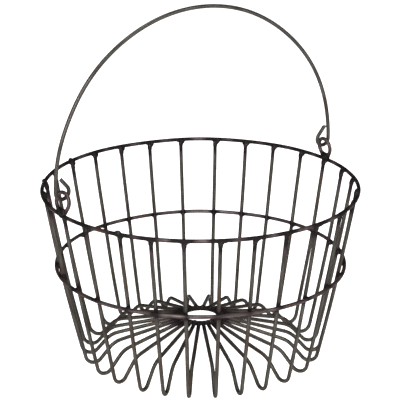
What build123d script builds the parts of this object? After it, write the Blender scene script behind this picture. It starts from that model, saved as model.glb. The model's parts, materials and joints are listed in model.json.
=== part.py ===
from build123d import *
import math
import os

# A welded wire egg basket. A floor and wall of bent ribs is held by three
# hoops: a rim on top, a belt half way up and a small hub ring in the middle of
# the floor. Two upright ears are welded on the rim, and a bail of the same
# wire hooks through them and swings from side to side.
#
# Millimetres, +Z up. The origin is on the basket's axis at the level its feet
# stand on. The ears stand on -X and +X, and the bail swings about X.

# ---- wire and hoops
WIRE = 3.7                      # No. 9 gauge wire, used for every piece
WIRE_R = WIRE / 2
RIM_R = 150.0                   # centreline radius of the rim hoop
RIM_Z = 169.2
BELT_Z = 93.7
HUB_R = 17.2
HUB_Z = 35.2

# ---- ribs, all bent to one shape in a vertical plane
RIB_COUNT = 28
RIB_TOP_R = 148.0               # the rib ends against the rim's lower inner side
RIB_TOP_Z = 168.4
TOP_LEAN = 9.0                  # degrees that the wall leans outwards at the rim
FOOT_LEAN = 13.0                # and above the foot: the wall is slightly bowed
FOOT_BEND_R = 8.5
RISE_ANGLE = 48.0               # the rib climbs inwards from its foot
SHOULDER_BEND_R = 21.0
FLOOR_SLOPE = 12.0              # the floor climbs gently to the hub
HUB_END_GAP = 0.05              # room left for the weld at the hub
# Hand welding leaves the ribs a little off an even spacing. Each rib turns
# about its hub end by this many degrees, in order from +X towards +Y.
RIB_YAW = [0, 0, 0.5, -0.5, -1, 0, 0, -0.5, -0.5, 0, 1, 0.5, -1.5, -2,
           0, 0, 2.5, 1, -0.5, -1, -2, -3, -2, 0, 1.5, 1, 1, -0.5]

# ---- ears
EAR_BEND_R = 8.6                # the ear is a round loop with legs that close in
EAR_TOP = 21.5                  # its crown above the rim's centreline
EAR_LEG_GAP = 2.3               # half the distance between the legs at the rim
EAR_LEAN = 6.7                  # degrees that the ear leans in over the basket

# ---- bail
PIVOT_Z = 184.5                 # the eyes' lowest wire lies on the swing axis
BAIL_HALF_SPAN = 154.1
BAIL_SHIFT = -1.5               # the bail hangs loose, nearer the ear on -X
BAIL_TOP_Z = 342.3
BAIL_SIDE_R = 148.0
EYE_R = 6.75
EYE_TIP_RISE = 13.5             # the wire's cut end above the eye's centre
EYE_TIP_GAP = 4.3               # from the cut end's centre to the standing wire

# ---- welds
WELD_CLEAR = 0.02
RIM_WELD_R = 3.0
BELT_WELD_R = 2.7
BELT_WELD_SPLIT = 0.3
HUB_WELD_R = 1.6
HUB_WELD_OUT = 0.3              # the weld dot's centre, out from the hub ring's edge
HUB_WELD_UP = 1.6               # and up from the ring's centreline
EAR_WELD_R = 3.5

# ---- worked out from the sizes above
FOOT_Z = WIRE_R + FOOT_BEND_R
TOP_SINE = math.sin(math.radians(TOP_LEAN))
FOOT_SINE = math.sin(math.radians(FOOT_LEAN))
FOOT_START_Z = FOOT_Z - FOOT_BEND_R * FOOT_SINE
WALL_BEND_R = (RIB_TOP_Z - FOOT_START_Z) / (FOOT_SINE - TOP_SINE)


def wall_lean_at(height):
    """The wall's lean at this height, in radians."""
    return math.asin(TOP_SINE + (RIB_TOP_Z - height) / WALL_BEND_R)


def wall_r_at(height):
    """The radius of the wall's centreline at this height."""
    return RIB_TOP_R - WALL_BEND_R * (math.cos(wall_lean_at(RIB_TOP_Z)) - math.cos(wall_lean_at(height)))


WALL_R_AT_BELT = wall_r_at(BELT_Z)
BELT_R = WALL_R_AT_BELT + WIRE / math.cos(wall_lean_at(BELT_Z)) + WELD_CLEAR


def bent_wire(plane, start, heading, moves):
    """The centreline of a wire: straight runs and bends, one after another.

    A move of one number is a straight run. A move of two is a bend: its radius
    and its turn in degrees, to the left if it is positive.
    """
    point = Vector(start[0], start[1], 0)
    edges = []
    for move in moves:
        if len(move) == 1:
            way = Vector(math.cos(math.radians(heading)), math.sin(math.radians(heading)), 0)
            edge = Line(point, point + way * move[0])
        else:
            radius, turn = move
            way = (math.cos(math.radians(heading)), math.sin(math.radians(heading)))
            edge = JernArc(start=point, tangent=way, radius=radius, arc_size=turn)
            heading += turn
        edges.append(edge)
        point = edge @ 1
    return Wire([plane * edge for edge in edges])


def round_wire(path, radius=WIRE_R):
    """A round wire of the given radius along a centreline."""
    section = Plane(origin=path @ 0, z_dir=path % 0) * Circle(radius)
    return sweep(sections=section, path=path)


def hoop(radius, height, wire_radius=WIRE_R):
    """A closed ring of wire around the basket's axis."""
    return Pos(0, 0, height) * Torus(radius, wire_radius)


def rib_path(yaw):
    """A rib's centreline from rim to hub, in the XZ plane before it is turned.

    The path is measured outwards from the hub end, so that a turn about that
    end leaves the rib's foot where it stands.
    """
    rise = math.radians(RISE_ANGLE)
    slope = math.radians(FLOOR_SLOPE)
    # the wall runs down to where the foot bend starts
    foot_r = wall_r_at(FOOT_START_Z) - FOOT_BEND_R * math.cos(math.radians(FOOT_LEAN))
    # the foot bend ends where the rib starts to climb
    climb_r = foot_r - FOOT_BEND_R * math.sin(rise)
    climb_z = FOOT_Z - FOOT_BEND_R * math.cos(rise)
    # the climb and the floor meet in a corner that the shoulder bend rounds
    across = climb_r - HUB_R
    up = HUB_Z - climb_z
    corner = (up - across * math.tan(slope)) / (math.sin(rise) - math.cos(rise) * math.tan(slope))
    cut_back = SHOULDER_BEND_R * math.tan((rise - slope) / 2)
    floor = (across - corner * math.cos(rise)) / math.cos(slope)
    moves = [
        [WALL_BEND_R, TOP_LEAN - FOOT_LEAN],
        [FOOT_BEND_R, FOOT_LEAN - RISE_ANGLE - 90],
        [corner - cut_back],
        [SHOULDER_BEND_R, RISE_ANGLE - FLOOR_SLOPE],
        [floor - cut_back - WIRE_R - HUB_END_GAP],
    ]
    hub_end = HUB_R + WIRE_R
    swing = Pos(hub_end, 0, 0) * Rot(0, 0, yaw) * Pos(-hub_end, 0, 0)
    path = bent_wire(Plane.XZ, (RIB_TOP_R, RIB_TOP_Z), 270 - TOP_LEAN, moves)
    return swing * path


def rib_angle(index):
    return index * 360 / RIB_COUNT


def rib_angle_at(index, radius):
    """The direction from the axis to a rib where it is this far out."""
    hub_end = HUB_R + WIRE_R
    yaw = math.radians(RIB_YAW[index])
    reach = radius - hub_end
    turned = math.atan2(reach * math.sin(yaw), hub_end + reach * math.cos(yaw))
    return rib_angle(index) + math.degrees(turned)


def rib(index):
    body = round_wire(rib_path(RIB_YAW[index])) - hoop(RIM_R, RIM_Z, WIRE_R + WELD_CLEAR / 2)
    return Rot(0, 0, rib_angle(index)) * body


def ear_path():
    """An ear's centreline in its own plane, from one leg's end to the other's."""
    centre = EAR_TOP - EAR_BEND_R
    reach = math.hypot(EAR_LEG_GAP, centre)
    leg = math.sqrt(reach**2 - EAR_BEND_R**2)
    # direction of the first leg, which touches the loop's left side
    splay = math.degrees(math.asin(EAR_BEND_R / reach) - math.atan2(EAR_LEG_GAP, centre))
    turn = 180 + 2 * splay
    return bent_wire(Plane.YZ, (-EAR_LEG_GAP, 0), 90 + splay, [[leg], [EAR_BEND_R, -turn], [leg]])


def ear(side):
    """An ear on +X or -X, its legs' ends fitted to the top of the rim."""
    loop = Rot(0, -EAR_LEAN, 0) * round_wire(ear_path())
    placed = Pos(RIM_R, 0, RIM_Z) * loop
    placed = placed - hoop(RIM_R, RIM_Z, WIRE_R + WELD_CLEAR / 2)
    upper = max(placed.solids(), key=lambda solid: solid.volume)
    return Rot(0, 0, 0 if side > 0 else 180) * upper


def bail():
    """The bail in one piece of wire: an eye, a three-arc arch and an eye."""
    eye_z = PIVOT_Z + EYE_R
    tip = (EYE_R - EYE_TIP_GAP, EYE_TIP_RISE)
    reach = math.hypot(tip[0], tip[1])
    tip_run = math.sqrt(reach**2 - EYE_R**2)
    touch = math.atan2(tip[1], tip[0]) + math.acos(EYE_R / reach)
    tip_heading = math.degrees(touch) + 90 - 360
    eye_turn = 90 - tip_heading
    # the arch: two side arcs and a flatter crown, tangent to each other
    rise = BAIL_TOP_Z - eye_z
    inset = BAIL_HALF_SPAN - BAIL_SIDE_R
    spare = rise - BAIL_SIDE_R
    drop = (inset**2 - spare**2) / (2 * spare)
    side_turn = math.degrees(math.atan2(drop, inset))
    moves = [
        [tip_run],
        [EYE_R, eye_turn],
        [BAIL_SIDE_R, side_turn],
        [rise + drop, 180 - 2 * side_turn],
        [BAIL_SIDE_R, side_turn],
        [EYE_R, eye_turn],
        [tip_run],
    ]
    standing = BAIL_SHIFT + BAIL_HALF_SPAN
    start = (standing - EYE_TIP_GAP, eye_z + EYE_TIP_RISE)
    return round_wire(bent_wire(Plane.XZ, start, tip_heading, moves))


def around_ribs(pieces, radius):
    """Copies of weld pieces made on +X, one set for each rib."""
    solids = []
    for index in range(RIB_COUNT):
        for piece in pieces:
            solids.append(Rot(0, 0, rib_angle_at(index, radius)) * piece)
    return solids


def big_solids(shape, least=0.05):
    return [solid for solid in shape.solids() if solid.volume > least]


def rim_weld_ball():
    return Pos(RIB_TOP_R + 0.4, 0, RIM_Z - 2.2) * Sphere(RIM_WELD_R)


def rim_weld(index):
    """A collar of weld under the rim at one rib."""
    ball = Rot(0, 0, rib_angle_at(index, RIB_TOP_R)) * rim_weld_ball()
    stub = Rot(0, 0, rib_angle(index)) * round_wire(rib_path(RIB_YAW[index]), WIRE_R + WELD_CLEAR)
    bead = ball - hoop(RIM_R, RIM_Z, WIRE_R + WELD_CLEAR) - stub
    return max(bead.solids(), key=lambda solid: solid.volume)


def rim_welds():
    return [rim_weld(index) for index in range(RIB_COUNT)]


def belt_welds():
    """A lump of weld on each side of each rib where the belt crosses it."""
    contact_r = BELT_R - WIRE_R
    ball = Pos(contact_r, 0, BELT_Z) * Sphere(BELT_WELD_R)
    stub = round_wire(rib_path(0), WIRE_R + WELD_CLEAR)
    split = Pos(contact_r, 0, BELT_Z) * Box(3 * BELT_WELD_R, 2 * BELT_WELD_SPLIT, 3 * BELT_WELD_R)
    bead = ball - hoop(BELT_R, BELT_Z, WIRE_R + WELD_CLEAR) - stub - split
    return around_ribs(big_solids(bead), WALL_R_AT_BELT)


def hub_weld(index):
    """A dot of weld on top of one rib where it meets the hub ring."""
    ball = Pos(HUB_R + WIRE_R + HUB_WELD_OUT, 0, HUB_Z + HUB_WELD_UP) * Sphere(HUB_WELD_R)
    stub = round_wire(rib_path(RIB_YAW[index]), WIRE_R + WELD_CLEAR)
    bead = ball - hoop(HUB_R, HUB_Z, WIRE_R + WELD_CLEAR) - stub
    return Rot(0, 0, rib_angle(index)) * max(bead.solids(), key=lambda solid: solid.volume)


def hub_welds():
    return [hub_weld(index) for index in range(RIB_COUNT)]


def ear_welds():
    """The thick weld that joins an ear's legs to the rim."""
    ball = Pos(RIM_R - 0.3, 0, RIM_Z + 3.0) * Sphere(EAR_WELD_R)
    loop = Pos(RIM_R, 0, RIM_Z) * Rot(0, -EAR_LEAN, 0) * round_wire(ear_path(), WIRE_R + WELD_CLEAR)
    bead = ball - hoop(RIM_R, RIM_Z, WIRE_R + WELD_CLEAR) - loop - rim_weld_ball()
    pieces = big_solids(bead)
    return pieces + [Rot(0, 0, 180) * piece for piece in pieces]


def save(name, shape):
    export_step(shape, os.path.join("parts", name + ".step"))


def save_group(name, solids):
    save(name, Compound(children=list(solids)))


os.makedirs("parts", exist_ok=True)
save("rim_hoop", hoop(RIM_R, RIM_Z))
save("belt_hoop", hoop(BELT_R, BELT_Z))
save("hub_ring", hoop(HUB_R, HUB_Z))
for number in range(RIB_COUNT):
    save(f"rib_{number + 1:02d}", rib(number))
save("ear_right", ear(1))
save("ear_left", ear(-1))
save("bail", bail())
save_group("rim_welds", rim_welds())
save_group("belt_welds", belt_welds())
save_group("hub_welds", hub_welds())
save_group("ear_welds", ear_welds())
print("belt hoop radius", round(BELT_R, 2), "rib wire length", round(rib_path(0).length, 1))
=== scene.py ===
# %% [markdown]
# # A wire egg basket
#
# The real object is made of one material, steel wire about 3.7 mm thick, in
# thirty-four lengths. Twenty-eight of them are ribs: each runs down the wall,
# turns in a small foot and climbs over the floor to the middle. Three hoops
# hold the ribs, two ears stand on the rim, and a bail swings in the ears.
# Everything but the bail is welded, so a good model of this basket is a good
# model of three things: bent wire, beads of weld, and steel that was heated.

# %% Load the frame
import json
import math
import random

import bmesh
import bpy
from mathutils import Matrix, Vector, kdtree, noise


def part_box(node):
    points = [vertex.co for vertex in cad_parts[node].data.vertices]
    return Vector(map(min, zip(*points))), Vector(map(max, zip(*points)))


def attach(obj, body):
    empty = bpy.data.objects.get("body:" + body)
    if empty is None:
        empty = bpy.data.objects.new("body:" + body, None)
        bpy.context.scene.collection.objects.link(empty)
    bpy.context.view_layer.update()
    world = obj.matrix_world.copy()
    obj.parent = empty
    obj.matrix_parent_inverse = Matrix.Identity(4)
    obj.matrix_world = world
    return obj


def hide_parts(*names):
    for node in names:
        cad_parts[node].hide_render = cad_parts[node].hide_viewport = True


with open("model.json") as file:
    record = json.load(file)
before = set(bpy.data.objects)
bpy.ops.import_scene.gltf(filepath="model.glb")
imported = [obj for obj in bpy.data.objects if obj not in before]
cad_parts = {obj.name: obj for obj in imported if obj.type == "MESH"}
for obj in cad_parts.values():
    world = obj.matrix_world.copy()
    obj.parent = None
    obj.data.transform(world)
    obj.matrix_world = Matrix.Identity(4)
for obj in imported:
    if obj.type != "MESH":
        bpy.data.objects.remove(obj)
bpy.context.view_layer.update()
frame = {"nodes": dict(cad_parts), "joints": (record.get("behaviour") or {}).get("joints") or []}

# %% [markdown]
# ## Sizes
#
# The frame already knows where everything is, so nothing is typed in twice: a
# hoop's box gives its radius, its height and the thickness of the wire. Only
# the bends of a rib, an ear and an eye are written down, because a box can't
# tell them. All lengths are in metres.

# %% Read the hoops and the bail from the frame
UP = Vector((0, 0, 1))


def hoop_size(node):
    """The radius and the height of a hoop's centreline, and its wire's radius."""
    low, high = (Vector(corner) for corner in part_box(node))
    wire_r = (high.z - low.z) / 2
    return (high.x - low.x) / 2 - wire_r, (high.z + low.z) / 2, wire_r


RIM_R, RIM_Z, WIRE_R = hoop_size("rim_hoop")
_, BELT_Z, _ = hoop_size("belt_hoop")
HUB_R, HUB_Z, _ = hoop_size("hub_ring")
PIVOT_Z = frame["joints"][0]["pos_m"][2]
rib_nodes = sorted(name for name in frame["nodes"] if name.startswith("rib_"))
RIB_COUNT = len(rib_nodes)
print(f"wire {2000 * WIRE_R:.2f} mm, rim {2000 * RIM_R:.0f} mm across, {RIB_COUNT} ribs")

# %% The bends that a box can't tell
RIB_TOP_R = RIM_R - 0.0020          # a rib ends against the rim's lower inner side
RIB_TOP_Z = RIM_Z - 0.0008
TOP_LEAN = math.radians(9)          # the wall is slightly bowed: it leans more
FOOT_LEAN = math.radians(13)        # above the foot than it does at the rim
FOOT_BEND_R = 0.0085
RISE_ANGLE = math.radians(48)
SHOULDER_BEND_R = 0.021
FLOOR_SLOPE = math.radians(12)

EAR_BEND_R = 0.0086
EAR_TOP = 0.0215
EAR_LEG_GAP = 0.0023
EAR_LEAN = math.radians(6.7)
EAR_TWIST = math.radians(12)        # the left ear stands a little askew on the rim

BAIL_SIDE_R = 0.148
EYE_R = 0.00675
EYE_TIP_RISE = 0.0135
EYE_TIP_GAP = 0.0043

# %% [markdown]
# ## Bending wire
#
# A wire could be a curve with a round bevel, and that is the quick way. Here
# it is swept by hand instead, because a swept ring of points can remember
# something useful: where it was on the straight wire before it was bent. The
# sweep is what a bending jig does. A ring of edges is extruded, and then it is
# either fed forward or turned about the centre of the bend, a little at a time.
#
# The memory is a vector on each point, called `straight`. Its x and y go round
# the wire and its z runs along it. A streak that follows z in a material then
# follows the wire through every bend, with no seam.

# %% Sweep a wire through runs and bends
SIDES = 20
FEED = 0.005                        # a straight run gets a ring this often
TURN = math.radians(9)              # and a bend this often


def carry_ring(bm, ring, move, along):
    """Extrudes the open ring, moves it, and notes how far along the wire it is."""
    straight = bm.verts.layers.float_vector["straight"]
    made = bmesh.ops.extrude_edge_only(bm, edges=ring)["geom"]
    verts = [item for item in made if isinstance(item, bmesh.types.BMVert)]
    bmesh.ops.transform(bm, matrix=move, verts=verts)
    for vert in verts:
        vert[straight] = Vector((vert[straight].x, vert[straight].y, along))
    return [item for item in made if isinstance(item, bmesh.types.BMEdge) and item.is_boundary]


def bent_wire(start, heading, normal, moves):
    """A closed bmesh of wire that runs and bends in the plane with this normal.

    A move of one number is a straight run. A move of two is a bend: its radius
    and its turn, which goes about the normal if it is positive.
    """
    bm = bmesh.new()
    straight = bm.verts.layers.float_vector.new("straight")
    side = normal.cross(heading)
    facing = Matrix((side, normal, heading)).transposed().to_4x4()
    section = bmesh.ops.create_circle(bm, cap_ends=True, segments=SIDES, radius=WIRE_R)["verts"]
    for vert in section:
        vert[straight] = vert.co
    bmesh.ops.transform(bm, matrix=Matrix.Translation(start) @ facing, verts=section)
    ring, point, along = list(bm.edges), start.copy(), 0.0
    for move in moves:
        if len(move) == 1:
            steps = max(1, round(move[0] / FEED))
            feed = heading * move[0] / steps
            for _ in range(steps):
                along += feed.length
                ring = carry_ring(bm, ring, Matrix.Translation(feed), along)
            point = point + heading * move[0]
        else:
            radius, turn = move
            steps = max(round(abs(turn) / TURN), round(radius * abs(turn) / FEED))
            centre = point + normal.cross(heading) * math.copysign(radius, turn)
            part = Matrix.Rotation(turn / steps, 4, normal)
            for _ in range(steps):
                along += radius * abs(turn) / steps
                about = Matrix.Translation(centre) @ part @ Matrix.Translation(-centre)
                ring = carry_ring(bm, ring, about, along)
            whole = Matrix.Rotation(turn, 4, normal)
            point = centre + whole @ (point - centre)
            heading = whole @ heading
    bmesh.ops.contextual_create(bm, geom=ring)
    return bm


# %% Spin a hoop
HOOP_STEPS = 168


def hoop_wire(radius, height):
    """A closed ring of wire: one round section spun about the basket's axis."""
    bm = bmesh.new()
    straight = bm.verts.layers.float_vector.new("straight")
    upright = Matrix.Translation((radius, 0, height)) @ Matrix.Rotation(math.pi / 2, 4, "X")
    section = bmesh.ops.create_circle(bm, segments=SIDES, radius=WIRE_R, matrix=upright)["verts"]
    bmesh.ops.spin(bm, geom=section + list(bm.edges), cent=(0, 0, 0), axis=UP,
                   angle=2 * math.pi, steps=HOOP_STEPS, use_merge=True)
    for vert in bm.verts:
        around = math.atan2(vert.co.y, vert.co.x)
        out = math.hypot(vert.co.x, vert.co.y) - radius
        vert[straight] = Vector((out, vert.co.z - height, around * radius))
    return bm


# %% [markdown]
# ## Hand work
#
# Wire that was bent and welded by hand is never quite true. A smooth field of
# small shifts, the same for every piece, moves neighbours together, so a rib
# still touches the hoop that it is welded to. The field dies away at the ears,
# where the bail needs its clearance, and it never pushes a foot into the floor.
# The noise behind it is seeded, because otherwise each run would bend the
# basket differently.

# %% The field of small shifts
DRIFT = 0.0006                      # the largest shift, and how far apart its swings are
DRIFT_SIZE = 0.075
EAR_CALM = 0.03                     # no shift this close to an ear's crown
FEET_TOP = 0.004                    # no shift up or down below this height, and all
FLOOR_CALM = 0.02                   # of it this much higher
noise.seed_set(5)

ear_crowns = [Vector((side * RIM_R, 0, PIVOT_Z)) for side in (-1, 1)]


def ease(value):
    value = min(1, max(0, value))
    return value * value * (3 - 2 * value)


def hand_shift(place):
    """How far the wire that is meant to be here really is from its place."""
    shift = noise.noise_vector(place / DRIFT_SIZE) * DRIFT
    near_ear = min((place - crown).length for crown in ear_crowns)
    shift *= ease((near_ear - EAR_CALM) / EAR_CALM)
    shift.z *= ease((place.z - FEET_TOP) / FLOOR_CALM)
    return shift


# %% [markdown]
# ## Where the heat was
#
# Each weld blackened the steel around it and left a violet-brown tint beyond
# the black. Every point of a wire therefore gets a second memory, `burn`: 1 in
# a weld, falling to 0 one to three centimetres away. A KD-tree finds the
# nearest weld quickly.

# %% Find the welds from the ribs' directions
HUB_END_R = HUB_R + WIRE_R


def polar(radius, angle, height):
    return Vector((radius * math.cos(angle), radius * math.sin(angle), height))


def rib_lie(index):
    """A rib's hub end and the level direction in which it runs outwards."""
    node = frame["nodes"][rib_nodes[index]]
    points = [vert.co for vert in node.data.vertices]
    lowest = min(point.z for point in points)
    foot = [point for point in points if point.z < lowest + WIRE_R / 4]
    middle = sum(foot, Vector()) / len(foot)
    hub_end = polar(HUB_END_R, 2 * math.pi * index / RIB_COUNT, 0)
    outwards = Vector((middle.x - hub_end.x, middle.y - hub_end.y, 0)).normalized()
    return hub_end, outwards


rib_lies = [rib_lie(index) for index in range(RIB_COUNT)]


def on_rib(index, radius, height):
    """The point of a rib's upright plane that is this far out and this high."""
    hub_end, outwards = rib_lies[index]
    return hub_end + outwards * (radius - HUB_END_R) + UP * height


FOOT_Z = WIRE_R + FOOT_BEND_R
FOOT_START_Z = FOOT_Z - FOOT_BEND_R * math.sin(FOOT_LEAN)
WALL_BEND_R = (RIB_TOP_Z - FOOT_START_Z) / (math.sin(FOOT_LEAN) - math.sin(TOP_LEAN))


def wall_lean_at(height):
    """How much the bowed wall leans from upright at this height."""
    return math.asin(math.sin(TOP_LEAN) + (RIB_TOP_Z - height) / WALL_BEND_R)


def wall_r_at(height):
    """How far out the middle of a rib's wire is at this height."""
    return RIB_TOP_R - WALL_BEND_R * (math.cos(TOP_LEAN) - math.cos(wall_lean_at(height)))


def down_the_wall(outwards, lean):
    """The way down the wall of a rib that runs out in this level direction."""
    return -UP * math.cos(lean) - outwards * math.sin(lean)


WALL_R_AT_BELT = wall_r_at(BELT_Z)
rim_joints = [on_rib(index, RIB_TOP_R, RIB_TOP_Z) for index in range(RIB_COUNT)]
belt_joints = [on_rib(index, WALL_R_AT_BELT + WIRE_R, BELT_Z) for index in range(RIB_COUNT)]
hub_joints = [on_rib(index, HUB_END_R, HUB_Z) for index in range(RIB_COUNT)]

# %% Heat at a point
HEAT_REACH = {"rim": 0.017, "belt": 0.007, "hub": 0.016}
BURN_CORE = 1.25                    # above 1, so that the middle is burnt all through
UNEVENNESS = 0.5                    # how much the reach varies, and over what length
UNEVEN_SIZE = 0.012
weld_places = [(joint, HEAT_REACH["rim"]) for joint in rim_joints]
weld_places += [(joint, HEAT_REACH["belt"]) for joint in belt_joints]
weld_places += [(joint, HEAT_REACH["hub"]) for joint in hub_joints]
weld_tree = kdtree.KDTree(len(weld_places))
for number, (joint, _) in enumerate(weld_places):
    weld_tree.insert(joint, number)
weld_tree.balance()


def burn_at(place):
    """1 inside a weld, 0 out of its reach, and uneven in between."""
    _, number, distance = weld_tree.find(place)
    reach = weld_places[number][1]
    uneven = 1 + UNEVENNESS * noise.noise(place / UNEVEN_SIZE)
    return ease(BURN_CORE - distance / (reach * uneven))


print("welds:", len(weld_places), "on ribs, and one under each ear")

# %% Turn a bmesh into a finished piece
SHARP = math.radians(40)


def scene_object(name, bm):
    """Turns a bmesh into an object of the scene, and frees the bmesh."""
    mesh = bpy.data.meshes.new(name)
    bm.to_mesh(mesh)
    bm.free()
    made = bpy.data.objects.new(name, mesh)
    bpy.context.scene.collection.objects.link(made)
    return made


def finished(name, bm, material, body):
    """Writes a bmesh into an object at the origin and fixes it to a body."""
    burn = bm.verts.layers.float.new("burn")
    for vert in bm.verts:
        vert[burn] = burn_at(vert.co)
        vert.co += hand_shift(vert.co)
    bmesh.ops.recalc_face_normals(bm, faces=bm.faces)
    piece = scene_object(name, bm)
    mesh = piece.data
    mesh.polygons.foreach_set("use_smooth", [True] * len(mesh.polygons))
    mesh.set_sharp_from_angle(angle=SHARP)
    mesh.materials.append(material)
    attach(piece, body)
    return piece


# %% [markdown]
# ## Steel that was heated
#
# Bright wire goes dull and olive-brown with age and oil. Over that lie three
# things: fine streaks along the wire from the drawing die, cloudy patches of
# oxide, and the burn from each weld. One function mixes them for every wire.
# The streaks read `straight`, squeezed along z so that they are long. The
# clouds read Object coordinates, so they pass from wire to wire. The burn
# reads `burn` through two ramps: the first turns bare steel violet-brown, and
# the second turns that into black scale.

# %% Helpers for node trees
def new_material(name):
    material = bpy.data.materials.new(name)
    material.use_nodes = True
    nodes = material.node_tree.nodes
    return material, nodes, material.node_tree.links, nodes["Principled BSDF"]


def mix_colour(nodes, links, factor, first, second):
    """A colour mix. Each input is a socket to follow or a value to keep."""
    mix = nodes.new("ShaderNodeMix")
    mix.data_type = "RGBA"
    for key, source in (("Factor", factor), ("A", first), ("B", second)):
        kind = "VALUE" if key == "Factor" else "RGBA"
        socket = next(item for item in mix.inputs if item.name == key and item.type == kind)
        if isinstance(source, bpy.types.NodeSocket):
            links.new(source, socket)
        else:
            socket.default_value = source
    return next(item for item in mix.outputs if item.type == "RGBA")


def ramp(nodes, links, source, stops):
    """A colour ramp with its stops given as (place, colour)."""
    node = nodes.new("ShaderNodeValToRGB")
    band = node.color_ramp
    while len(band.elements) < len(stops):
        band.elements.new(0.5)
    for element, (place, colour) in zip(band.elements, stops):
        element.position = place
        element.color = colour
    links.new(source, node.inputs["Fac"])
    return node.outputs["Color"]


def grey(value):
    return (value, value, value, 1)


def fade(nodes, links, source, band, first=grey(0), last=grey(1)):
    """A ramp from one colour to another over this band of the source."""
    return ramp(nodes, links, source, list(zip(band, (first, last))))


def noise_texture(nodes, links, place, scale, detail):
    """A noise texture laid out by this vector socket."""
    texture = nodes.new("ShaderNodeTexNoise")
    texture.inputs["Scale"].default_value = scale
    texture.inputs["Detail"].default_value = detail
    links.new(place, texture.inputs["Vector"])
    return texture


def bump(nodes, links, height, strength, distance):
    """A bump with this height socket."""
    node = nodes.new("ShaderNodeBump")
    node.inputs["Strength"].default_value = strength
    node.inputs["Distance"].default_value = distance
    links.new(height, node.inputs["Height"])
    return node


# %% The wire's finish
# Each band says where in its noise, or in `burn`, one look gives way to the next.
STREAK_SCALE = 1400
STREAK_SQUEEZE = 0.05               # makes a streak twenty times as long as it is wide
STREAK_BAND = 0.36, 0.64
OXIDE_SCALE, OXIDE_ROUGHNESS = 38, 0.62
OXIDE_BAND = 0.60, 0.72
GRAIN_SCALE = 900
GRAIN_BAND = 0.3, 0.7
VIOLET_BAND = 0.05, 0.45
BLACK_BAND = 0.40, 0.80
BARE_ROUGHNESS = 0.32, 0.50
BURNT_ROUGHNESS = 0.66
BURNT = (0.012, 0.010, 0.010, 1)
VIOLET = (0.040, 0.028, 0.030, 1)
METALLIC = 0.7
EDGE_SHINE = 0.12                   # oxide keeps a wire's sides from mirroring the floor
EDGE_TINT = (0.25, 0.24, 0.23, 1)


def dull_metal(metal):
    """Sets what the wire and the weld metal have in common."""
    metal.inputs["Metallic"].default_value = METALLIC
    metal.inputs["Specular IOR Level"].default_value = EDGE_SHINE
    metal.inputs["Specular Tint"].default_value = EDGE_TINT


def wire_finish(name, pale, dark, rust, rust_share):
    """Old drawn steel: streaks, clouds of oxide, and burns where it was welded."""
    material, nodes, links, steel = new_material(name)
    straight = nodes.new("ShaderNodeAttribute")
    straight.attribute_name = "straight"
    squeeze = nodes.new("ShaderNodeMapping")
    squeeze.inputs["Scale"].default_value = (1, 1, STREAK_SQUEEZE)
    links.new(straight.outputs["Vector"], squeeze.inputs["Vector"])
    streaks = noise_texture(nodes, links, squeeze.outputs["Vector"], STREAK_SCALE, 3)
    place = nodes.new("ShaderNodeTexCoord").outputs["Object"]
    clouds = noise_texture(nodes, links, place, OXIDE_SCALE, 6)
    clouds.inputs["Roughness"].default_value = OXIDE_ROUGHNESS
    grain = noise_texture(nodes, links, place, GRAIN_SCALE, 4)

    tone = fade(nodes, links, streaks.outputs["Fac"], STREAK_BAND, dark, pale)
    rust_band = [place - rust_share / 2 for place in OXIDE_BAND]
    patch = fade(nodes, links, clouds.outputs["Fac"], rust_band)
    bare = mix_colour(nodes, links, patch, tone, rust)

    burn = nodes.new("ShaderNodeAttribute")
    burn.attribute_name = "burn"
    tint = fade(nodes, links, burn.outputs["Fac"], VIOLET_BAND)
    scale = fade(nodes, links, burn.outputs["Fac"], BLACK_BAND)
    warmed = mix_colour(nodes, links, tint, bare, VIOLET)
    links.new(mix_colour(nodes, links, scale, warmed, BURNT), steel.inputs["Base Color"])

    shine = fade(nodes, links, grain.outputs["Fac"], GRAIN_BAND, *map(grey, BARE_ROUGHNESS))
    rough = mix_colour(nodes, links, scale, shine, grey(BURNT_ROUGHNESS))
    links.new(rough, steel.inputs["Roughness"])
    dull_metal(steel)

    lines = bump(nodes, links, streaks.outputs["Fac"], 0.25, 0.0002)
    pits = bump(nodes, links, grain.outputs["Fac"], 0.2, 0.0003)
    links.new(lines.outputs["Normal"], pits.inputs["Normal"])
    links.new(pits.outputs["Normal"], steel.inputs["Normal"])
    print("finish:", name)
    return material


rib_finish = wire_finish("aged_rib_steel", (0.064, 0.058, 0.050, 1), (0.024, 0.021, 0.018, 1),
                         (0.044, 0.030, 0.022, 1), 0.10)
hoop_finish = wire_finish("violet_hoop_steel", (0.088, 0.070, 0.068, 1), (0.030, 0.022, 0.023, 1),
                          (0.056, 0.033, 0.026, 1), 0.16)
bail_finish = wire_finish("handled_bail_steel", (0.068, 0.062, 0.057, 1), (0.028, 0.025, 0.023, 1),
                          (0.036, 0.028, 0.023, 1), 0.06)

# %% The weld metal's finish
SCALE_SIZE = 420
SCALE_BROWN = (0.018, 0.014, 0.014, 1)
SCALE_GREY = (0.050, 0.044, 0.042, 1)
SCALE_ROUGHNESS = 0.62, 0.40        # its high spots are the shiny ones


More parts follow.
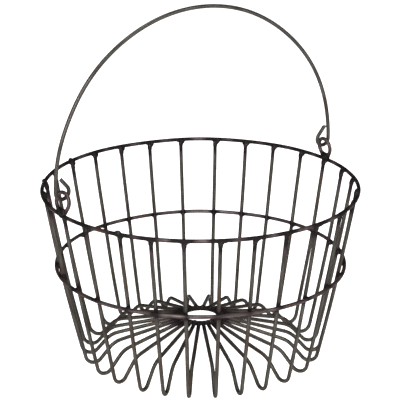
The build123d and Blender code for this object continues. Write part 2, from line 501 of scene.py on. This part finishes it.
def weld_scale(name):
    """Lumpy black scale that keeps a dull shine on its high spots."""
    material, nodes, links, metal = new_material(name)
    place = nodes.new("ShaderNodeTexCoord").outputs["Object"]
    lumps = noise_texture(nodes, links, place, SCALE_SIZE, 5)
    colour = ramp(nodes, links, lumps.outputs["Fac"],
                  [(0.35, BURNT), (0.60, SCALE_BROWN), (0.78, SCALE_GREY)])
    links.new(colour, metal.inputs["Base Color"])
    rough = fade(nodes, links, lumps.outputs["Fac"], (0.3, 0.75), *map(grey, SCALE_ROUGHNESS))
    links.new(rough, metal.inputs["Roughness"])
    dull_metal(metal)
    crust = bump(nodes, links, lumps.outputs["Fac"], 0.5, 0.0004)
    links.new(crust.outputs["Normal"], metal.inputs["Normal"])
    print("finish:", name)
    return material


weld_finish = weld_scale("black_weld_scale")

# %% [markdown]
# ## Hoops
#
# The rim, the belt and the hub ring are closed rings. A full spin of one round
# section makes each of them with no seam, as long as the spin merges its last
# ring with its first.

# %% Make the three hoops
for name, node in (("rim_wire", "rim_hoop"), ("belt_wire", "belt_hoop"), ("hub_wire", "hub_ring")):
    radius, height, _ = hoop_size(node)
    hoop = finished(name, hoop_wire(radius, height), hoop_finish, "basket")
    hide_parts(node)
    print(f"{name}: {2000 * radius:.0f} mm across at {1000 * height:.0f} mm")

# %% [markdown]
# ## Ribs
#
# All ribs are bent to one shape on one jig, so their moves are worked out
# once. What differs from rib to rib is where it points, and that is read from
# the frame. The moves are found as a bender would: the wall comes down to the
# foot bend, the foot bend ends where the wire climbs, and the climb and the
# floor meet in a corner that the shoulder bend rounds.

# %% The moves of a rib
def rib_moves():
    foot_r = wall_r_at(FOOT_START_Z) - FOOT_BEND_R * math.cos(FOOT_LEAN)
    across = foot_r - FOOT_BEND_R * math.sin(RISE_ANGLE) - HUB_R
    up = HUB_Z - (FOOT_Z - FOOT_BEND_R * math.cos(RISE_ANGLE))
    slope = math.tan(FLOOR_SLOPE)
    climb = (up - across * slope) / (math.sin(RISE_ANGLE) - math.cos(RISE_ANGLE) * slope)
    floor = (across - climb * math.cos(RISE_ANGLE)) / math.cos(FLOOR_SLOPE)
    cut_back = SHOULDER_BEND_R * math.tan((RISE_ANGLE - FLOOR_SLOPE) / 2)
    return [
        (WALL_BEND_R, TOP_LEAN - FOOT_LEAN),
        (FOOT_BEND_R, FOOT_LEAN - RISE_ANGLE - math.pi / 2),
        (climb - cut_back,),
        (SHOULDER_BEND_R, RISE_ANGLE - FLOOR_SLOPE),
        (floor - cut_back - WIRE_R,),
    ]


# %% Make the ribs
moves = rib_moves()
for index, node in enumerate(rib_nodes):
    _, outwards = rib_lies[index]
    downwards = down_the_wall(outwards, TOP_LEAN)
    wire = bent_wire(rim_joints[index], downwards, -UP.cross(outwards), moves)
    rib = finished(node.replace("rib_", "rib_wire_"), wire, rib_finish, "basket")
    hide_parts(node)
rib_length = sum(move[0] * abs(move[1]) if len(move) == 2 else move[0] for move in moves)
print(f"{RIB_COUNT} ribs of {1000 * rib_length:.0f} mm of wire each")

# %% [markdown]
# ## Ears
#
# An ear is a loop of wire whose legs close in until they nearly touch at the
# rim. It stands across the rim and leans in a little over the basket. Its two
# legs touch the round of the loop as tangents, which fixes how far they splay.

# %% Make the ears
def ear_moves():
    centre = EAR_TOP - EAR_BEND_R
    reach = math.hypot(EAR_LEG_GAP, centre)
    leg = math.sqrt(reach**2 - EAR_BEND_R**2)
    splay = math.asin(EAR_BEND_R / reach) - math.atan2(EAR_LEG_GAP, centre)
    return splay, [(leg,), (EAR_BEND_R, math.pi + 2 * splay), (leg,)]


splay, moves = ear_moves()
for side, name, twist in ((1, "right", 0), (-1, "left", EAR_TWIST)):
    foot = Vector((side * RIM_R, 0, RIM_Z))
    out = Matrix.Rotation(twist, 3, "Z") @ Vector((side, 0, 0))
    along = UP.cross(out)
    upright = UP * math.cos(EAR_LEAN) - out * math.sin(EAR_LEAN)
    start = foot - along * EAR_LEG_GAP
    heading = upright * math.cos(splay) - along * math.sin(splay)
    wire = bent_wire(start, heading, upright.cross(along), moves)
    ear = finished("ear_loop_" + name, wire, hoop_finish, "basket")
    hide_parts("ear_" + name)
print(f"2 ears, {1000 * EAR_TOP:.1f} mm high, legs splayed {math.degrees(splay):.0f} degrees")

# %% [markdown]
# ## Bail
#
# The bail is one wire: a short tail, an eye closed round the ear, an arch of
# three arcs that run into each other, and the same again in reverse. Its tail
# was nipped off with side cutters, which leaves a slanted face, so each end is
# cut by a slanted plane and the new edge is broken with a small bevel.

# %% The moves of the bail
bail_low, bail_high = (Vector(corner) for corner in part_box("bail"))
BAIL_HALF_SPAN = (bail_high.x - bail_low.x) / 2 - WIRE_R
BAIL_SHIFT = (bail_high.x + bail_low.x) / 2
BAIL_TOP_Z = bail_high.z - WIRE_R


def bail_moves():
    tip = Vector((EYE_R - EYE_TIP_GAP, EYE_TIP_RISE))
    tail = math.sqrt(tip.length_squared - EYE_R**2)
    touch = math.atan2(tip.y, tip.x) + math.acos(EYE_R / tip.length)
    heading = touch - 1.5 * math.pi
    eye = math.pi / 2 - heading
    rise = BAIL_TOP_Z - PIVOT_Z - EYE_R
    inset = BAIL_HALF_SPAN - BAIL_SIDE_R
    spare = rise - BAIL_SIDE_R
    drop = (inset**2 - spare**2) / (2 * spare)
    side = math.atan2(drop, inset)
    half = [(tail,), (EYE_R, eye), (BAIL_SIDE_R, side)]
    return heading, half + [(rise + drop, math.pi - 2 * side)] + half[::-1]


# %% Nip a wire's end off
NIP_SLANT = math.radians(28)
NIP_DEPTH = 0.0011
NIP_EDGE = 0.0003
NIP_REACH = 2 * FEED                # only the tail is cut: this far from its end, and
NIP_GIRTH = 1.1 * WIRE_R            # this far from its axis


def nip(bm, end, outwards, across):
    """Cuts the end of a straight tail by a slanted plane and breaks the new edge."""
    near = []
    for vert in bm.verts:
        away = vert.co - end
        depth = -away.dot(outwards)
        off_axis = (away + outwards * depth).length
        if -WIRE_R < depth < NIP_REACH and off_axis < NIP_GIRTH:
            near.append(vert)
    geom = near + list({edge for vert in near for edge in vert.link_edges})
    geom += list({face for vert in near for face in vert.link_faces})
    slanted = outwards * math.cos(NIP_SLANT) + across * math.sin(NIP_SLANT)
    cut = bmesh.ops.bisect_plane(bm, geom=geom, plane_co=end - outwards * NIP_DEPTH,
                                 plane_no=slanted, clear_outer=True)["geom_cut"]
    edges = [item for item in cut if isinstance(item, bmesh.types.BMEdge)]
    bmesh.ops.contextual_create(bm, geom=edges)
    bmesh.ops.bevel(bm, geom=edges, offset=NIP_EDGE, segments=2, profile=0.5, affect="EDGES")


# %% Make the bail
BAIL_SWAY = 0.0017                  # hands have pushed the arch over towards -X, from
BAIL_CALM = 0.068                   # this far above the axis, and fully at twice as far
CUTTERS = Vector((0, 1, 0))         # the side the cutters came from

heading_angle, moves = bail_moves()
start = Vector((BAIL_SHIFT + BAIL_HALF_SPAN - EYE_TIP_GAP, 0, PIVOT_Z + EYE_R + EYE_TIP_RISE))
heading = Vector((math.cos(heading_angle), 0, math.sin(heading_angle)))
wire = bent_wire(start, heading, Vector((0, -1, 0)), moves)
mirror = Matrix.Diagonal((-1, 1, 1))
other_end = mirror @ start + Vector((2 * BAIL_SHIFT, 0, 0))
nip(wire, start, -heading, CUTTERS)
nip(wire, other_end, -(mirror @ heading), CUTTERS)
for vert in wire.verts:
    vert.co.x -= BAIL_SWAY * ease((vert.co.z - PIVOT_Z) / BAIL_CALM - 1)
bail = finished("bail_wire", wire, bail_finish, "bail")
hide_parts("bail")
print(f"bail: {2000 * BAIL_HALF_SPAN:.0f} mm span, top at {1000 * BAIL_TOP_Z:.0f} mm")

# %% [markdown]
# ## Welds
#
# Weld metal was liquid, so it has fillets where it meets the wires and no
# edge anywhere. Modelling that by hand is slow. Instead each weld starts as a
# few egg-shaped lumps laid along the wires, the lumps are melted into one skin
# by a voxel remesh, and smoothing pulls the skin in, as surface tension does.
# A lump along a wire is thicker than the wire in its middle and thinner at its
# ends, so the skin dives into the wire without a step. Sizes are drawn from
# ranges, because no two welds of the real basket are alike.

# %% Lumps of weld and how they melt together
def lump(bm, centre, way, half_length, radius):
    """An egg-shaped lump with its long axis on this way."""
    turned = way.to_track_quat("Z", "Y").to_matrix().to_4x4()
    size = Matrix.Diagonal((radius, radius, half_length, 1))
    place = Matrix.Translation(centre) @ turned @ size
    bmesh.ops.create_icosphere(bm, subdivisions=3, radius=1, matrix=place)


WELD_GRAIN = 0.0005                 # the size of the skin's faces
SMOOTHING = 4                       # how often the skin is smoothed
RIPPLE = 0.00018                    # the height and the size of the skin's ripples
RIPPLE_SIZE = 0.0016


def melted(bm):
    """The lumps of a bmesh as one smooth, faintly rippled skin."""
    lumps = scene_object("lumps", bm)
    melt = lumps.modifiers.new("melt", "REMESH")
    melt.mode = "VOXEL"
    melt.voxel_size = WELD_GRAIN
    whole = lumps.evaluated_get(bpy.context.evaluated_depsgraph_get())
    skin = bmesh.new()
    skin.from_mesh(whole.to_mesh())
    whole.to_mesh_clear()
    bpy.data.objects.remove(lumps)
    for _ in range(SMOOTHING):
        bmesh.ops.smooth_vert(skin, verts=skin.verts, factor=0.5,
                              use_axis_x=True, use_axis_y=True, use_axis_z=True)
    skin.normal_update()
    for vert in skin.verts:
        vert.co += vert.normal * noise.noise(vert.co / RIPPLE_SIZE) * RIPPLE
    return skin


def finish_welds(name, bm, node):
    skin = melted(bm)
    faces = len(skin.faces)
    beads = finished(name, skin, weld_finish, "basket")
    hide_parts(node)
    print(f"{name}: {faces} faces")


# %% What the welds share
luck = random.Random(7)


def drawn(*ranges):
    """One size from each range."""
    return [luck.uniform(low, high) for low, high in ranges]


def level_out(place):
    """The level direction from the basket's axis to this place."""
    return Vector((place.x, place.y, 0)).normalized()


# %% Rim welds
# A lump's size is its half length and its radius, here and in the next cells.
RIM_LUMP = (0.0050, 0.0066), (0.0019, 0.0021)
RIM_LUMP_SLIDE = (0.0, 0.001)       # towards the side that was filled
RIM_LUMP_DROP, RIM_LUMP_IN = 0.0008, 0.0002     # from the rim's centreline
RIB_LUMP = (0.0045, 0.0060), (0.0022, 0.0025)
RIB_LUMP_START = 0.0018             # it begins this far above the joint
FILLET = (0.0028, 0.0040), (0.0014, 0.0019)
FILLET_AWAY = (0.0017, 0.0023)      # from the joint, into the corner
SMALL_FILLET = (0.0022, 0.0032), (0.0012, 0.0016)
SMALL_FILLET_AWAY = (0.0013, 0.0019)
SMALL_FILLET_SHARE = 0.4            # this many welds have one on the other side too
FILLED_SIDE = polar(1, math.radians(-33.5), 0)  # the large fillets face this way

bm = bmesh.new()
for joint in rim_joints:
    out = level_out(joint)
    along_rim = UP.cross(out)
    down = down_the_wall(out, TOP_LEAN)
    filled = along_rim if along_rim.dot(FILLED_SIDE) > 0 else -along_rim
    under_rim = out * RIM_R + UP * RIM_Z - UP * RIM_LUMP_DROP - out * RIM_LUMP_IN
    slide, half_length, radius = drawn(RIM_LUMP_SLIDE, *RIM_LUMP)
    lump(bm, under_rim + filled * slide, along_rim, half_length, radius)
    half_length, radius = drawn(*RIB_LUMP)
    lump(bm, joint + down * (half_length - RIB_LUMP_START), down, half_length, radius)
    away, half_length, radius = drawn(FILLET_AWAY, *FILLET)
    lump(bm, joint + (down + filled) * away, down - filled, half_length, radius)
    if luck.random() < SMALL_FILLET_SHARE:
        away, half_length, radius = drawn(SMALL_FILLET_AWAY, *SMALL_FILLET)
        lump(bm, joint + (down - filled) * away, down + filled, half_length, radius)

# %% Spatter on the rim
SPATTER = {9: 0.0017, 11: 0.0019, 16: 0.0021}   # the radius of the drop over a rib
SPATTER_SHAPE = 1.6                 # how much longer than wide a drop is
SPATTER_OUT, SPATTER_SINK = 0.0004, 0.0001      # from the rim's crest
for index, radius in SPATTER.items():
    out = level_out(rim_joints[index])
    drop = out * (RIM_R + SPATTER_OUT) + UP * (RIM_Z + WIRE_R - SPATTER_SINK)
    lump(bm, drop, UP.cross(out), SPATTER_SHAPE * radius, radius)
finish_welds("rim_weld_beads", bm, "rim_welds")

# %% Belt welds
BELT_LUMP_HALF_LENGTH = (0.0028, 0.0042)
BELT_LUMP_RADIUS = 0.0021
BELT_LUMP_SHIFT = 0.0005            # from a wire's centreline towards the joint
CORNER_HALF_LENGTH = 0.0022
CORNER_RADIUS = (0.0014, 0.0021)
CORNER_AWAY = (0.001, 0.0018)
CORNER_DROP = 0.0006

bm = bmesh.new()
belt_lean = wall_lean_at(BELT_Z)
for joint in belt_joints:
    out = level_out(joint)
    along_belt = UP.cross(out)
    on_belt = joint + out * WIRE_R - out * BELT_LUMP_SHIFT
    in_rib = joint - out * WIRE_R + out * BELT_LUMP_SHIFT
    for middle, way in ((on_belt, along_belt), (in_rib, down_the_wall(out, belt_lean))):
        lump(bm, middle, way, *drawn(BELT_LUMP_HALF_LENGTH), BELT_LUMP_RADIUS)
    for side in (-1, 1):
        away, radius = drawn(CORNER_AWAY, CORNER_RADIUS)
        corner = joint + along_belt * side * away - UP * CORNER_DROP
        lump(bm, corner, out, CORNER_HALF_LENGTH, radius)
finish_welds("belt_weld_beads", bm, "belt_welds")

# %% Hub welds
FLOOR_LUMP = (0.0034, 0.0050), (0.0021, 0.0024)
FLOOR_LUMP_OUT = 0.0008
HUB_LUMP = (0.0024, 0.0032), (0.0019, 0.0024)
HUB_LUMP_IN = 0.0006
HUB_LUMP_RISE = (0.0002, 0.0012)

bm = bmesh.new()
for index, joint in enumerate(hub_joints):
    _, outwards = rib_lies[index]
    down_the_floor = outwards * math.cos(FLOOR_SLOPE) - UP * math.sin(FLOOR_SLOPE)
    half_length, radius = drawn(*FLOOR_LUMP)
    lump(bm, joint + down_the_floor * FLOOR_LUMP_OUT, down_the_floor, half_length, radius)
    rise, half_length, radius = drawn(HUB_LUMP_RISE, *HUB_LUMP)
    middle = joint - outwards * HUB_LUMP_IN + UP * rise
    lump(bm, middle, UP.cross(outwards), half_length, radius)
finish_welds("hub_weld_beads", bm, "hub_welds")

# %% Ear welds
EAR_WELD_IN, EAR_WELD_UP = 0.0003, 0.0022       # its middle, from the rim's centreline
EAR_BASE = 0.0058, 0.0030
EAR_NECK, EAR_NECK_UP = (0.0028, 0.0026), 0.0018
EAR_LEG = 0.0034, 0.0021
EAR_LEG_UP, EAR_LEG_AWAY, EAR_LEG_SPLAY = 0.0020, 0.0024, 0.5

bm = bmesh.new()
for crown in ear_crowns:
    out = level_out(crown)
    along_rim = UP.cross(out)
    middle = out * (RIM_R - EAR_WELD_IN) + UP * (RIM_Z + EAR_WELD_UP)
    lump(bm, middle, along_rim, *EAR_BASE)
    lump(bm, middle + UP * EAR_NECK_UP, UP, *EAR_NECK)
    for side in (-1, 1):
        leg = middle + UP * EAR_LEG_UP + along_rim * side * EAR_LEG_AWAY
        lump(bm, leg, UP + along_rim * side * EAR_LEG_SPLAY, *EAR_LEG)
finish_welds("ear_weld_beads", bm, "ear_welds")

# %% [markdown]
# ## Floor, light and camera
#
# The basket stands on a plain pale floor. Thin round wires need a light with
# an edge: a big soft box near the viewer gives each wire a pale streak down
# its middle and leaves its sides dark, which is what makes it look round.

# %% Floor
FLOOR_SIZE = 8.0
PALE = (0.88, 0.88, 0.88, 1)
FLOOR_GLOW = 0.80                   # keeps the paper even where the soft boxes don't reach
bm = bmesh.new()
bmesh.ops.create_grid(bm, x_segments=1, y_segments=1, size=FLOOR_SIZE / 2)
floor = scene_object("pale_floor", bm)
material, _, _, paint = new_material("floor_paper")
paint.inputs["Base Color"].default_value = PALE
paint.inputs["Roughness"].default_value = 0.9
paint.inputs["Specular IOR Level"].default_value = 0.1
paint.inputs["Emission Color"].default_value = (1, 1, 1, 1)
paint.inputs["Emission Strength"].default_value = FLOOR_GLOW
floor.data.materials.append(material)


# %% A direction to look or shine from
def way_from(turn, rise):
    """The way out to what stands this far round from the front and this high."""
    level = math.cos(rise)
    return Vector((math.sin(turn) * level, -math.cos(turn) * level, math.sin(rise)))


# %% Camera
VIEW_TURN = math.radians(-33.5)     # from straight in front, towards -X
VIEW_FALL = math.radians(19.28)     # how steeply the camera looks down
VIEW_REACH = 1.5505
VIEW_TILT = -0.002                  # a slight roll, in radians
LENS = 146.3
LOOK_AT = Vector((-0.0003, 0.0002, 0.1548))

back = way_from(VIEW_TURN, VIEW_FALL)
lens = bpy.data.cameras.new("view")
lens.lens = LENS
lens.sensor_width = 36
lens.clip_end = 20
camera = bpy.data.objects.new("view", lens)
camera.location = LOOK_AT + back * VIEW_REACH
turned = back.to_track_quat("Z", "Y") @ Matrix.Rotation(VIEW_TILT, 3, "Z").to_quaternion()
camera.rotation_euler = turned.to_euler()
bpy.context.scene.collection.objects.link(camera)
bpy.context.scene.camera = camera

# %% Lights
ROOM_GLOW = 0.2


def soft_box(name, turn, rise, reach, size, watts):
    """A square light that faces the basket. Its turn and rise are in degrees."""
    data = bpy.data.lights.new(name, "AREA")
    data.shape = "SQUARE"
    data.size = size
    data.energy = watts
    box = bpy.data.objects.new(name, data)
    way = way_from(math.radians(turn), math.radians(rise))
    box.location = LOOK_AT + way * reach
    box.rotation_euler = way.to_track_quat("Z", "Y").to_euler()
    bpy.context.scene.collection.objects.link(box)


soft_box("front_box", turn=-48, rise=24, reach=2.0, size=0.6, watts=52)
soft_box("side_box", turn=26, rise=22, reach=2.2, size=0.5, watts=18)
soft_box("top_box", turn=-33, rise=80, reach=2.2, size=1.2, watts=34)
world = bpy.data.worlds.new("studio")
world.use_nodes = True
sky = world.node_tree.nodes["Background"]
sky.inputs["Color"].default_value = grey(1)
sky.inputs["Strength"].default_value = ROOM_GLOW
bpy.context.scene.world = world
bpy.context.scene.view_settings.view_transform = "Standard"
print("3 soft boxes and a dim white room")
